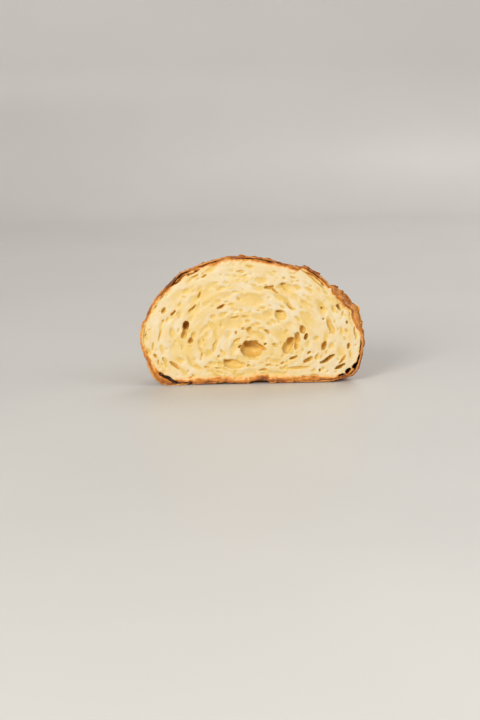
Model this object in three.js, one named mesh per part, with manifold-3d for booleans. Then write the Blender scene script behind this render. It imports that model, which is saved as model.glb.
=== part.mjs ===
// Half of a butter croissant, cut straight across its middle and resting on its base.
// Millimetres, +Z up. The cut face looks along -Y and the roll's axis runs back along +Y to the tip.
// The baked dough is one piece, so the model is one solid: a roll whose wraps end one after another
// along a helix, trimmed flat by the baking tray and by the knife, with the widest air cells open at the cut.

import * as THREE from "three";
import { mergeVertices } from "three/addons/utils/BufferGeometryUtils.js";
import Module from "manifold-3d";

// Driving dimensions.
const LENGTH = 80; // from the cut face to the tip
const CENTRE = new THREE.Vector2(-1.5, 15); // the roll's centre on the cut face, above the base
const BEND = 9; // how far the tip curves to +X

// The cut face's outline, [x, z] anticlockwise from the right side. It dips below z = 0, where the tray flattens it.
const OUTLINE = [
  [44.0, 17.5],
  [42.9, 25.5],
  [38.2, 33.8],
  [31.0, 40.0],
  [20.5, 45.9],
  [7.2, 50.2],
  [-7.0, 50.9],
  [-24.7, 46.7],
  [-35.6, 38.2],
  [-42.9, 26.5],
  [-44.3, 18.5],
  [-42.4, 8.5],
  [-38.0, 1.0],
  [-24.0, -1.8],
  [0.0, -2.5],
  [24.0, -1.6],
  [38.5, 2.0],
  [42.2, 8.5],
];

// The roll. Radii are shares of the outline's own radius.
const TURNS = 3.5; // wraps of dough round the core
const SEAM = THREE.MathUtils.degToRad(-130); // where the last wrap ends, tucked under the -X side
const CORE = 0.25; // the core, which runs to the tip
const WRAP = 0.22; // the thickness of one wrap
const SHOULDER = 15; // length over which a wrap's edge rounds down
const SHOULDER_POWER = 2.3; // above 2 for a blunt edge
const TIP_ROUNDING = 9; // length of the core's rounded end
const TIP_LIFT = 1.2; // the tip stands a little off the tray

// Widest air cells, open at the cut: [x, z, length, thickness, depth, slope in degrees].
const CELLS = [
  [-0.3, 13.6, 8.6, 6.2, 8.0, -6],
  [-26.4, 22.4, 6.0, 2.8, 5.0, 76],
  [-24.3, 17.9, 2.4, 2.0, 2.5, 80],
  [-34.7, 30.4, 2.8, 1.6, 2.5, 62],
  [-7.6, 8.2, 7.8, 3.0, 3.5, -8],
  [-30.0, 8.0, 4.0, 1.5, 2.5, -33],
  [14.3, 15.0, 6.0, 3.4, 5.0, 62],
  [18.2, 17.2, 5.6, 2.0, 4.0, 84],
  [21.4, 18.7, 2.8, 1.5, 2.5, 76],
  [20.0, 21.7, 3.0, 1.8, 3.0, 84],
  [28.5, 14.7, 2.8, 1.6, 3.0, 70],
  [11.6, 27.3, 4.6, 3.3, 3.5, -24],
  [27.1, 29.5, 6.0, 2.8, 2.5, -62],
  [34.4, 29.9, 2.3, 1.3, 2.5, -70],
  [7.4, 37.9, 4.8, 1.8, 2.5, -20],
  [22.2, 9.2, 4.4, 1.6, 3.0, 18],
  [30.1, 9.6, 6.4, 1.6, 4.0, 35],
  [34.7, 6.3, 4.6, 1.5, 3.5, 29],
];

// Mesh fineness.
const AROUND = 80;
const SHOULDER_ROWS = [1, 0.6, 0.35, 0.18, 0.08, 0.02]; // distances inside a wrap's edge, as shares of SHOULDER
const BETWEEN_ROWS = 3; // rows from one wrap's edge to the next wrap's shoulder
const TIP_ROWS = [0, 0.35, 0.6, 0.8, 0.93, 1]; // distances along the rounded end, as shares of TIP_ROUNDING
const CELL_SEGMENTS = [14, 9];

// Where the innermost wrap starts: the wraps build outwards from here, anticlockwise as seen at the cut.
const START = SEAM - TURNS * 2 * Math.PI;

const wasm = await Module();
wasm.setup();

// A closed surface as a solid. Vertices that coincide become one, and triangles that this flattens are dropped.
function solidOf(geometry) {
  const bare = geometry.clone();
  bare.deleteAttribute("normal");
  bare.deleteAttribute("uv");
  const merged = mergeVertices(bare, 1e-4);
  const triangles = [];
  for (let i = 0; i < merged.index.count; i += 3) {
    const [a, b, c] = merged.index.array.subarray(i, i + 3);
    if (a !== b && b !== c && c !== a) {
      triangles.push(a, b, c);
    }
  }
  return new wasm.Manifold(
    new wasm.Mesh({
      numProp: 3,
      vertProperties: new Float32Array(merged.attributes.position.array),
      triVerts: new Uint32Array(triangles),
    }),
  );
}

function geometryOf(solid) {
  const mesh = solid.getMesh();
  return new THREE.BufferGeometry()
    .setAttribute("position", new THREE.BufferAttribute(mesh.vertProperties, 3))
    .setIndex(new THREE.BufferAttribute(mesh.triVerts, 1));
}

// The outline as a radius about the roll's centre for any angle: a smooth closed curve through OUTLINE.
const knots = OUTLINE.map(([x, z]) => {
  const arm = new THREE.Vector2(x, z).sub(CENTRE);
  return { angle: arm.angle(), radius: arm.length() };
}).sort((a, b) => a.angle - b.angle);

function knot(i) {
  const n = knots.length;
  const lap = Math.floor(i / n);
  const { angle, radius } = knots[i - lap * n];
  return { angle: angle + lap * 2 * Math.PI, radius };
}

function slope(i) {
  const [before, after] = [knot(i - 1), knot(i + 1)];
  return (after.radius - before.radius) / (after.angle - before.angle);
}

function outlineRadius(theta) {
  const angle = THREE.MathUtils.euclideanModulo(theta, 2 * Math.PI);
  const i = knots.filter((k) => k.angle <= angle).length - 1;
  const [a, b] = [knot(i), knot(i + 1)];
  const span = b.angle - a.angle;
  const t = (angle - a.angle) / span;
  return (
    a.radius * (1 + 2 * t) * (1 - t) ** 2 +
    slope(i) * span * t * (1 - t) ** 2 +
    b.radius * t * t * (3 - 2 * t) +
    slope(i + 1) * span * t * t * (t - 1)
  );
}

// How thick a wrap stands at a distance inside its edge: 0 at the edge, 1 once past the shoulder.
function shoulder(distance) {
  const u = THREE.MathUtils.clamp(distance / SHOULDER, 0, 1);
  return (1 - (1 - u) ** SHOULDER_POWER) ** (1 / SHOULDER_POWER);
}

// How far an angle is past the start of the innermost wrap, as a share of a turn.
function turnShare(theta) {
  return THREE.MathUtils.euclideanModulo((theta - START) / (2 * Math.PI) + 1e-9, 1);
}

// The roll's radius, as a share, at an angle and a distance behind the cut: the core plus every wrap that reaches there.
function rollShare(theta, back) {
  const turn = turnShare(theta);
  const tip = THREE.MathUtils.clamp((back - (LENGTH - TIP_ROUNDING)) / TIP_ROUNDING, 0, 1);
  let share = CORE * Math.sqrt(1 - tip * tip);
  for (let turns = turn; turns < TURNS; turns++) {
    const edge = LENGTH * (1 - turns / TURNS);
    share += WRAP * Math.min(1, turns) * shoulder(edge - back);
  }
  return share;
}

// A point on the roll's surface. The axis sinks as the roll thins, so that the underside stays on the tray.
function surfacePoint(theta, back) {
  const along = back / LENGTH;
  const radius = (outlineRadius(theta) * rollShare(theta, back)) / rollShare(theta, 0);
  const axis = new THREE.Vector2(
    CENTRE.x * (1 - along) + BEND * along * along,
    CENTRE.y * (1 - (1 - CORE) * along) + TIP_LIFT * along ** 4,
  );
  return new THREE.Vector3(
    axis.x + radius * Math.cos(theta),
    back,
    axis.y + radius * Math.sin(theta),
  );
}

// Distances behind the cut for one line of vertices, from the cut to the tip. The rows run beside the wraps' edges, so
// each ridge stays sharp; rows that would fall past either end all meet there.
function stations(theta) {
  const turn = turnShare(theta);
  const pitch = LENGTH / TURNS;
  const flat = pitch - SHOULDER;
  const end = LENGTH - TIP_ROUNDING;
  const rows = [];
  for (let k = Math.ceil(TURNS); k >= -1; k--) {
    const edge = LENGTH - pitch * (k + turn);
    for (let i = 0; i < BETWEEN_ROWS; i++) {
      rows.push(edge + (flat * i) / BETWEEN_ROWS);
    }
    rows.push(...SHOULDER_ROWS.map((share) => edge + pitch - share * SHOULDER));
  }
  return [
    ...rows.map((back) => THREE.MathUtils.clamp(back, 0, end)),
    ...TIP_ROWS.map((share) => end + share * TIP_ROUNDING),
  ];
}

// The whole roll as a closed surface, still round underneath. Once round the roll each row meets the row of the next
// wrap, so the last line of vertices joins the first with a shift.
function rollGeometry() {
  const lines = Array.from({ length: AROUND }, (_, i) => {
    const theta = START + (2 * Math.PI * i) / AROUND;
    return stations(theta).map((back) => surfacePoint(theta, back));
  });
  const rows = lines[0].length;
  const shift = BETWEEN_ROWS + SHOULDER_ROWS.length;
  const helical = rows - TIP_ROWS.length;
  const positions = lines.flat().flatMap((point) => point.toArray());
  const middle = positions.push(CENTRE.x, 0, CENTRE.y) / 3 - 1;
  const at = (i, j) => {
    const row = i < AROUND || j >= helical ? j : Math.max(0, j - shift);
    return (i % AROUND) * rows + row;
  };
  const faces = [];
  for (let i = 0; i < AROUND; i++) {
    for (let j = 0; j < rows - 1; j++) {
      faces.push(at(i, j), at(i, j + 1), at(i + 1, j + 1));
      faces.push(at(i, j), at(i + 1, j + 1), at(i + 1, j));
    }
    faces.push(middle, at(i, 0), at(i + 1, 0));
  }
  return new THREE.BufferGeometry()
    .setAttribute("position", new THREE.Float32BufferAttribute(positions, 3))
    .setIndex(faces);
}

// The tray's surface: everything under the base plane.
function trayGeometry() {
  const [width, depth] = [4 * LENGTH, 20];
  return new THREE.BoxGeometry(width, width, depth).translate(0, 0, -depth / 2);
}

// One air cell: an ellipsoid whose middle is on the cut plane, sloping up to +X.
function cellGeometry([x, z, length, thickness, depth, slope]) {
  return new THREE.SphereGeometry(1, ...CELL_SEGMENTS)
    .scale(length / 2, depth, thickness / 2)
    .rotateY(-THREE.MathUtils.degToRad(slope))
    .translate(x, 0, z);
}

function croissantHalf() {
  const cells = CELLS.map((cell) => solidOf(cellGeometry(cell)));
  const solid = cells.reduce(
    (body, cell) => body.subtract(cell),
    solidOf(rollGeometry()).subtract(solidOf(trayGeometry())),
  );
  const geometry = geometryOf(solid);
  // The frame's origin is under the middle of the bounding box, on the base.
  geometry.computeBoundingBox();
  const middle = geometry.boundingBox.getCenter(new THREE.Vector3());
  geometry.translate(-middle.x, -middle.y, 0);
  geometry.computeVertexNormals();
  const crust = new THREE.MeshStandardMaterial({
    color: "#c8853b",
    roughness: 0.55,
    metalness: 0,
  });
  const mesh = new THREE.Mesh(geometry, crust);
  mesh.name = "croissant_half";
  return mesh;
}

const croissant = new THREE.Group();
croissant.add(croissantHalf());

export default croissant;
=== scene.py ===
"""Half of a baked croissant, cut straight across its middle and standing on its base.

Three pieces stand for the CAD solid: the crumb is the cut face with its open air cells, made on a voxel
grid, the crust is the baked skin, and the flakes are the thin leaves that lift off it. Lengths are in
millimetres in the roll's own frame, with y = 0 on the cut and z = 0 on the base, until a mesh is made.
"""

import math
from collections import Counter

import bpy
import numpy as np
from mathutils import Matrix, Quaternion, Vector


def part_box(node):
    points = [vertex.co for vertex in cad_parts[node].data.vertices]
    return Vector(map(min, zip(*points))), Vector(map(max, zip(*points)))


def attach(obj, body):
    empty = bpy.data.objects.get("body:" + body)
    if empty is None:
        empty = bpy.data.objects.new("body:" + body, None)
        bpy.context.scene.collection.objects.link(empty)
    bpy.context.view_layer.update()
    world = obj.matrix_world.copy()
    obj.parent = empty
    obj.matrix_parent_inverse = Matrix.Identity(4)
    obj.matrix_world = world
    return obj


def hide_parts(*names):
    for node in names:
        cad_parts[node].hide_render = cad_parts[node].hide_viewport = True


NODE = "croissant_half"
TAU = 2 * math.pi
MM = 0.001
TINY = 1e-4

# ----------------------------
# The roll, as in the CAD solid.

LENGTH = 80.0
CENTRE = np.array([-1.5, 15.0])
BEND = 9.0
OUTLINE = [
    (44, 17.5), (42.9, 25.5), (38.2, 33.8), (31, 40), (20.5, 45.9), (7.2, 50.2), (-7, 50.9),
    (-24.7, 46.7), (-35.6, 38.2), (-42.9, 26.5), (-44.3, 18.5), (-42.4, 8.5), (-38, 1), (-24, -1.8),
    (0, -2.5), (24, -1.6), (38.5, 2), (42.2, 8.5),
]
TURNS = 3.5
SEAM = math.radians(-130)
CORE = 0.25
WRAP = 0.22
SHOULDER = 15.0
SHOULDER_POWER = 2.3
TIP_ROUNDING = 9.0
TIP_LIFT = 1.2
START = SEAM - TURNS * TAU
PITCH = LENGTH / TURNS

# ----------------------------
# What the cut shows on top of the smooth roll.

# Broken leaf edges round the cut: (angle in degrees, how far out), joined by straight lines.
LEAF_STEPS = [
    (0, 0.3), (7, 0), (14, 0.2), (19.3, 0.8), (24, 0.1), (29.6, 0.7), (30.8, 0.1), (34.8, 0.3),
    (35.8, -0.9), (41, 0), (50, 0.8), (54.8, 1.3), (55.8, -0.3), (67, -0.7), (80, -0.2), (102, 0.4),
    (113, -0.3), (124, -0.5), (131, 0.2), (140, -0.4), (152, -0.2), (164.4, -0.8), (165.2, -0.1),
    (173, 0.1), (181, -0.3), (187.4, -1.1), (188.3, -0.5), (201, -0.8), (226, 0), (325, 0), (339, -1.9),
    (344, 0.2), (347, 0.7), (353, 0.5), (360, 0.3),
]
LEAF_FADE = 11.0  # how far behind the cut the steps die out

# The right side's torn strip of crust: the cut is set in from the leaves that stand out behind it.
STRIP = (3.0, 13.0, 30.0, 37.0)  # degrees: where it starts, is full, is still full, and ends
STRIP_DEPTH, STRIP_BACK = 2.5, 1.5  # how far it is set in, and over what distance behind the cut

# How brown the crust's edge is on the cut: (angle in degrees, share).
EDGE_BROWN = [
    (0, 0.42), (8, 0.5), (28, 0.56), (38, 0.62), (60, 0.72), (100, 0.76), (128, 0.9), (148, 0.74),
    (162, 0.38), (185, 0.28), (200, 0.56), (206, 0.86), (260, 0.86), (330, 0.8), (345, 0.48), (360, 0.42),
]

# Where the underside arches off the table: (x, half width, height, how far back).
ARCHES = [
    (2.7, 4.2, 1.3, 6), (-24.8, 1.1, 1.2, 3), (-13, 11, 0.5, 5), (21, 15, 0.3, 4), (37.5, 4, 0.5, 3),
    (-12, 2, 0.3, 4),
]

# How thick the crust is on the cut: (angle in degrees, thickness), joined by straight lines.
CRUST_DEPTHS = [
    (0, 1), (15, 1), (45, 1.6), (90, 1.9), (135, 2.2), (155, 1.1), (180, 1), (188, 2), (200, 4.6),
    (216, 4.8), (226, 2.6), (330, 2.4), (342, 3), (350, 1.8), (360, 1),
]
BASE_CRUST = 2.3

# Air cells that stand out on the cut:
# (x, z, length, thickness, depth, slope in degrees, how far behind the cut the middle is).
CELLS = [
    # the pocket at the roll's centre, with its overhanging roof
    (-0.2, 13.9, 8.4, 5.6, 6.4, -8, 1.4), (0, 15.3, 7.4, 2.8, 8, -12, 3.4),
    (0, 11.3, 6.6, 2.6, 2.4, -4, 0), (-2.6, 17.2, 1.6, 1, 3, 40, 0.6), (1.4, 17.1, 1.2, 0.9, 3, -20, 0.6),
    (-5, 15.2, 1.4, 0.9, 3, 60, 0.6), (4.2, 14.5, 3, 1.1, 4, -25, 1), (5.2, 16, 1.4, 0.9, 3, 30, 0.5),
    # left
    (-26, 23.8, 3.8, 2.6, 8, 75, 2.4), (-26.9, 20.7, 3.6, 2.2, 3.6, 65, 0.5),
    (-24.3, 17.9, 2.4, 2, 3, 80, 0.6), (-34.7, 30.4, 2.9, 1.5, 2.8, 62, 0.4),
    (-31, 29.1, 2.7, 0.9, 2.8, 47, 0.5), (-35.2, 26, 1.3, 0.8, 1.4, 45, 0.3),
    (-31.4, 20.8, 4, 2, 1.5, 100, 0), (-36.3, 20.5, 6.5, 0.6, 1, 76, 0.1),
    (-39.3, 16, 3.6, 0.6, 1, 82, 0.1), (-12.1, 31.2, 3.6, 1.2, 3.2, 22, 0.7),
    (-22.6, 29.9, 5.4, 3, 1.6, 38, 0), (-23.5, 30.7, 4.2, 1, 2.2, 45, 0.5),
    (-18.8, 36.2, 5.4, 3, 1.3, 30, 0), (-20.4, 36, 3.2, 1, 2, 62, 0.4),
    (-22.2, 43.6, 3.6, 0.7, 1.5, 27, 0.2), (-18.4, 43.7, 2.4, 0.8, 1.5, 25, 0.2),
    (-3.9, 45, 2.7, 0.8, 1.2, 5, 0.1), (-5.7, 37, 2.8, 0.7, 1, 0, 0.1), (-0.4, 33.9, 10, 4, 1.4, -8, 0),
    (-4.7, 34.2, 1.6, 1, 1.6, -40, 0.2), (-7.8, 24.9, 8.6, 4.6, 1.6, 0, 0),
    (-6.5, 26.8, 4.2, 0.9, 1.8, 5, 0.2),
    # the edge of the inner roll, left of the centre
    (-16, 23.8, 3.4, 1.3, 0.9, 118, 0), (-14.4, 19.8, 5.2, 1.5, 1, 95, 0),
    (-14.9, 15.6, 5.2, 1.5, 1.6, 72, 0.2), (-17.2, 12.5, 3.4, 1.5, 1, 38, 0),
    (-6.2, 20.6, 1.2, 1, 1.8, 0, 0.4), (-0.9, 21.9, 2, 2.2, 2.4, 80, 0.5),
    (-3.2, 22.3, 1.2, 1.6, 1.5, 90, 0.2), (-7, 14.7, 5.6, 3, 1.8, 60, 0), (-6, 17.6, 3, 1, 1.6, 40, 0.2),
    # low left
    (-7.7, 8.2, 8, 3.1, 3.2, -8, 0.3), (-9.6, 9.2, 4.2, 1.1, 3.6, -12, 0.9),
    (-13.4, 11, 1.2, 0.8, 1.8, 45, 0.3), (-20, 12.2, 1.6, 1.2, 1.4, 70, 0.2),
    (-28.8, 10.2, 3.4, 2.2, 1.4, -30, 0), (-24.8, 9.4, 4.6, 1.3, 1.3, -62, 0),
    (-22.5, 7.4, 4, 1, 1.2, -28, 0), (-30.4, 8, 4.8, 1.4, 2.8, -36, 0.6),
    (-34.5, 9.8, 3, 1.2, 1.2, -58, 0.1), (-17.9, 6.8, 2, 0.7, 1.5, 0, 0.2),
    (-13.6, 6.7, 2.6, 0.8, 1.4, -12, 0.2), (-1.7, 7.4, 1.4, 0.9, 1.4, 10, 0.2),
    (-38.2, 11.9, 1.7, 0.8, 2.2, -65, 0.4),
    # top right
    (7.2, 38.8, 3.6, 1.1, 2.8, 12, 0.6), (9.2, 37.3, 3.2, 0.9, 2.2, -42, 0.4),
    (14.2, 37.8, 6.8, 4, 1.7, -22, 0), (12.7, 39.9, 2.4, 0.9, 2.4, -5, 0.6),
    (13.6, 38.2, 4.5, 1.4, 2, -50, 0.2), (12.7, 42, 1.4, 1, 1.3, 0, 0.2),
    (9.3, 44.9, 1.6, 0.6, 1, -8, 0.1), (16.5, 42.4, 2.2, 0.6, 1.1, -20, 0.1),
    (14.8, 31.9, 5.4, 2, 1.6, -55, 0), (15.3, 30.8, 3.6, 0.8, 2.4, -58, 0.5),
    (11.5, 27.5, 4.6, 3.3, 2.4, -35, 0.2), (11.2, 28.7, 3.6, 1, 3.6, -6, 1),
    (6.4, 27.6, 3.6, 2.8, 1.7, -10, 0), (27.2, 30, 6.6, 2.6, 1.9, -62, 0),
    (27.7, 29.6, 1.5, 0.9, 3, -40, 0.8), (28.6, 26, 1, 0.7, 2, -45, 0.4),
    (31.3, 22.4, 5.8, 2, 2, -70, 0.1), (34.4, 29.9, 2.4, 1.2, 3.2, -70, 0.7),
    (37.6, 23.9, 1.4, 0.8, 2.4, -80, 0.5),
    # right of the centre
    (20, 21.6, 3.2, 2.1, 3.4, 86, 0.7), (21.4, 18.7, 3, 1.6, 3.4, 74, 0.7),
    (18.2, 17.9, 4.2, 2.2, 4.2, 88, 0.9), (17.8, 15.2, 3.8, 1.5, 3, 84, 0.4),
    (15.1, 16.9, 3.8, 2.8, 5.8, 60, 1.4), (13.7, 14.2, 5, 3.5, 4.4, 66, 0.7),
    (28.5, 14.7, 3.4, 1.9, 3.8, 72, 0.8), (22.6, 12.3, 1.5, 1, 2.2, 60, 0.3),
    (22.2, 15.8, 3.2, 1.4, 1.2, 70, 0), (25.3, 17.9, 1.8, 1.2, 1.3, 60, 0),
    (38.5, 14.5, 2.7, 1, 3, 85, 0.6), (6, 20.8, 2.8, 0.9, 2.6, -35, 0.6), (3.2, 19.4, 5, 2, 1.4, -28, 0),
    (0.5, 20.5, 5, 1.4, 1.2, -10, 0), (9.3, 15.6, 1.4, 1.8, 1.6, 90, 0.2),
    (14.9, 23.5, 1.6, 2.2, 1.5, 90, 0),
    # low right
    (16.6, 10.1, 4, 0.9, 2.8, 17, 0.6), (22.2, 9.2, 4.4, 1.5, 3.2, 20, 0.7),
    (30.1, 9.6, 6.6, 1.4, 4.6, 35, 1), (34.7, 6.3, 4.6, 1.3, 4.2, 29, 1), (35.8, 9, 4.4, 0.8, 2, 42, 0.3),
    (26.5, 5.1, 1.1, 0.8, 2.2, 50, 0.5), (18.2, 6, 9, 0.8, 1.5, 3, 0.2),
    (4.4, 5.7, 3.2, 0.9, 1.8, 0, 0.3), (6.3, 7.8, 2.4, 0.7, 1.5, 8, 0.2),
    (12, 8.2, 1.6, 0.7, 1.4, 0, 0.2), (40.9, 19.5, 5, 0.6, 1.3, -84, 0.2),
    # between the crust's upper leaves
    (-22.6, 45, 6, 0.5, 2.2, 25, 0.4), (-29.6, 41, 5, 0.5, 2.2, 38, 0.4), (23, 43, 9, 0.4, 1.5, -37, 0.2),
    (26.4, 39.9, 7, 0.4, 1.3, -42, 0.2), (28.6, 39.1, 2, 0.6, 1.8, -46, 0.4),
]

# Gaps between the leaves of the crust, in the same terms.
GAPS = [
    (42.5, 10.1, 2.8, 1.1, 4, 64, 0.8), (40.9, 6.5, 3, 1.4, 5, 52, 1), (38.3, 4.5, 2.6, 1.3, 4, 35, 0.8),
    (35.2, 2.9, 2.8, 0.7, 3, 25, 0.4), (-32.8, 2.3, 8.8, 1.3, 1.25, -29, 0.25),
    (-35.9, 4.3, 3, 1.2, 1.25, -55, 0.25), (-26.8, 0.5, 4.6, 1.1, 1.5, 10, 0.4),
    (-36.2, 4.6, 1.8, 0.7, 2.2, -42, 0.4),
]

# A cell with its middle behind the cut is carved as a cavity, and one with its middle on the cut as a
# dimple. These are the sizes they are carved with, as shares of those above.
CAVITY_LENGTH, CAVITY_THICKNESS, CAVITY_DEPTH = 1.06, 1.14, 0.62
DIMPLE_DEPTH = 0.42

# Scattered cells, wide shallow ones first: how many, their shortest and longest, and whether shallow.
SCATTERED = [(45, 3.5, 8.5, True), (250, 0.7, 3.0, False)]
TRIES = 40  # places tried for each

# Leaves of crust that have come apart at the cut, leaving a slit between them:
# (first angle, last angle, how far inside the crust's surface, width, depth).
SLITS = [
    (122, 152, 1, 0.42, 2.6), (104, 121, 0.75, 0.34, 2), (126, 138, 1.8, 0.3, 1.6),
    (143, 158, 1.7, 0.3, 1.4), (64, 96, 0.8, 0.3, 1.5), (37, 55, 0.8, 0.36, 2.2),
    (39, 52, 1.7, 0.34, 1.8), (14, 34, 1, 0.34, 1.8), (10, 30, 2.1, 0.3, 1.2), (-24, 8, 1.1, 0.34, 1.8),
    (160, 186, 1.4, 0.3, 1.2),
]

SLAB = 6.8  # how far behind the cut the crumb piece reaches; the crust fills the rest
SKIN = 0.55  # the crust piece's thickness at the cut
INSET = 0.3  # the crumb starts this far inside the crust's outer surface
CRUST_WALL, WALL_FROM = 0.45, 0.8  # what cells leave under the crust, from how far behind the cut on
DIMPLE_LIP, CAVITY_LIP = 0.8, 0.28  # how far from their edges dimples and cavities are rounded

# The crumb's mesh is opened where the crust hides it: behind these distances, this close to the crust.
HIDDEN_FROM, HIDDEN_FROM_IN_GAP, HIDDEN_WITHIN = 1.0, 3.2, 0.12
# The plain wall that closes it: where its rings are behind the cut, and how far inside the crust.
WALL_RINGS, WALL_INSET = (1.6, 2.4, 3.4, 4.6, SLAB, SLAB), 0.5

# The voxel grid that the crumb is made on. Its steps are longer behind FINE_DEPTH.
STEP, COARSE_STEP = 0.28, 1.5 * 0.28
GRID_X, GRID_Z, GRID_FRONT, FINE_DEPTH = (-46.5, 46.5), (-0.6, 52.6), -1.2, 3.0

# The crust's mesh.
COLUMNS = 440
FLAT_ROWS = 14
SHOULDER_ROWS = 26
TIP_ROWS = 16
RING_DEPTHS = (0.0, 0.5, 1.0, 1.5, 2.0, 2.5, 3.0, 4.0, 5.2, SLAB + 0.3)  # of its inner side
PLAIN_GAP, TIP_GAP = 6.0, 12.0  # the edge distances given to the inner side and the tip

# Where things are in the UV square. The crust's inner side is at the bottom, a share RING_V for a ring,
# up to END_V, and the skin is above: where it starts, and its height. The crumb's hidden back is made
# smaller and raised above the cut face, which is CUT_SPAN wide.
RING_V, END_V, SKIN_V = 0.009, 0.1, (0.12, 0.87)
CUT_UV, BACK_UV = (1, 0), (0.3, 0.75)
CUT_SPAN = 92

FLAKE = 0.22  # a leaf's thickness
EDGE_FLAKES = 110
LOOSE_FLAKES = 90
# Leaves at the cut: (angle in degrees, how far behind the cut the free edge is, width, length, lift).
RIM_FLAKES = [
    (50, 0.2, 9, 5, 0.55), (44, -0.1, 12, 4, 0.3), (55, 1.2, 6, 3.5, 0.9), (38, 0.8, 7, 4, 0.3),
    (61, 0, 10, 4.5, 0.15), (70, 0.4, 11, 5, 0.3), (80, -0.1, 9, 3.6, 0.2), (89, 0.3, 8, 4, 0.35),
    (98, 0, 11, 5, 0.4), (106, 0.5, 9, 4, 0.5), (113, -0.1, 12, 5, 0.3), (121, 0.2, 10, 4.5, 0.45),
    (128, 0, 12, 5, 0.35), (135, 0.6, 9, 4, 0.55), (142, -0.1, 10, 4.5, 0.2), (152, 0.3, 9, 4, 0.25),
    (161, 0.2, 7, 4, 0.35), (172, 0.3, 8, 4, 0.15), (184, 0.2, 6, 3, 0.4), (193, 0.3, 5, 3, 0.5),
    (200, 0, 6, 3, 0.35), (209, 0.2, 6, 3, 0.4), (31, 1.2, 6, 3.5, 0.3), (26, 0.9, 6, 3, 0.5),
    (21, 1.3, 7, 3, 0.25), (16, 0.8, 6, 3, 0.45), (10, 0.9, 7, 3.5, 0.25), (4, 0.5, 6, 3, 0.4),
    (-2, 0.4, 6, 3, 0.2), (-8, 0.6, 5, 3, 0.4), (-14, 0.2, 5, 3, 0.45), (-18, 0.5, 4, 2.5, 0.6),
    (-21, 0.1, 4, 3, 0.4), (47, 0.5, 4, 3, 1.1), (57.5, 0.6, 3, 2.5, 0.9), (76, 0.5, 4, 2.5, 0.7),
    (85, 0.9, 3, 2.5, 0.9), (93, 0.4, 4, 3, 0.8), (101, 0.8, 4, 3, 0.7), (117, 0.4, 4, 3, 0.7),
    (131, 0.5, 5, 3, 0.7), (147, 0.6, 4, 3, 0.6), (164, 0.1, 5, 3, 0.6), (188.5, 0.1, 3.5, 3, 0.6),
    (34.5, 0.6, 3, 2.5, 0.9), (28.5, 0.7, 3.5, 2.5, 0.8), (23.5, 0.6, 3, 2, 0.5), (18.5, 0.7, 4, 2, 0.8),
    (13, 0.6, 3.5, 2, 0.6), (7, 0.5, 3.5, 2, 0.6), (0.5, 0.4, 3.5, 2, 0.5), (-5, 0.3, 3, 2, 0.5),
    (-11, 0.2, 3, 2, 0.6),
]


def smoothstep(low, high, value):
    t = np.clip((value - low) / (high - low), 0, 1)
    return t * t * (3 - 2 * t)


def smooth_min(a, b, blend):
    """The lesser of two distances, rounded off where they are within `blend` of each other."""
    h = np.clip(0.5 + 0.5 * (a - b) / blend, 0, 1)
    return a * (1 - h) + b * h - blend * h * (1 - h)


def sloped(dx, dz, slope):
    """Offsets on the cut turned to lie along and across a slope in degrees."""
    turn = math.radians(slope)
    return dx * math.cos(turn) + dz * math.sin(turn), dz * math.cos(turn) - dx * math.sin(turn)


def about_centre(x, z):
    """Angle and distance of places on the cut, about the roll's centre."""
    dx, dz = x - CENTRE[0], z - CENTRE[1]
    return np.arctan2(dz, dx), np.hypot(dx, dz)


def degrees_apart(degrees, middle):
    return np.abs(np.mod(degrees - middle + 180, 360) - 180)


class Noise:
    """Smooth random values from -1 to 1 over space, the same for the same seed."""

    SIZE = 32

    def __init__(self, seed):
        random = np.random.default_rng(seed)
        self.lattice = random.uniform(-1, 1, (self.SIZE,) * 3).astype(np.float32)

    def __call__(self, x, y, z):
        cells, shares = [], []
        for value in (x, y, z):
            value = np.asarray(value, np.float32)
            low = np.floor(value)
            t = value - low
            cells.append(low.astype(np.int32))
            shares.append(t * t * (3 - 2 * t))
        total = 0
        for corner in np.ndindex(2, 2, 2):
            weight = 1
            for share, far in zip(shares, corner):
                weight = weight * (share if far else 1 - share)
            i, j, k = (np.mod(cell + far, self.SIZE) for cell, far in zip(cells, corner))
            total = total + weight * self.lattice[i, j, k]
        return total


lumps = Noise(3)
wrinkles = Noise(7)
browning = Noise(11)
crumb_relief = Noise(19)
warp_x, warp_y, warp_z = Noise(23), Noise(29), Noise(31)
edge_wander = Noise(37)


def knots_of(points):
    """Angles and radii about the roll's centre, continued past both ends of the turn, and slopes."""
    angles, radii = about_centre(*np.array(points).T)
    angles = np.mod(angles, TAU)
    order = np.argsort(angles)
    angles, radii = angles[order], radii[order]
    angles = np.concatenate([angles[-2:] - TAU, angles, angles[:2] + TAU])
    radii = np.concatenate([radii[-2:], radii, radii[:2]])
    slopes = np.gradient(radii)
    slopes[1:-1] = (radii[2:] - radii[:-2]) / (angles[2:] - angles[:-2])
    return angles, radii, slopes


OUTLINE_KNOTS = knots_of(OUTLINE)


def outline_radius(theta):
    """The cut's radius about the roll's centre: a smooth closed curve through OUTLINE."""
    angles, radii, slopes = OUTLINE_KNOTS
    theta = np.mod(theta, TAU)
    i = np.searchsorted(angles, theta, side="right") - 1
    span = angles[i + 1] - angles[i]
    t = (theta - angles[i]) / span
    return (
        radii[i] * (1 + 2 * t) * (1 - t) ** 2
        + slopes[i] * span * t * (1 - t) ** 2
        + radii[i + 1] * t * t * (3 - 2 * t)
        + slopes[i + 1] * span * t * t * (t - 1)
    )


def turn_share(theta):
    return np.mod((theta - START) / TAU + 1e-9, 1)


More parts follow.
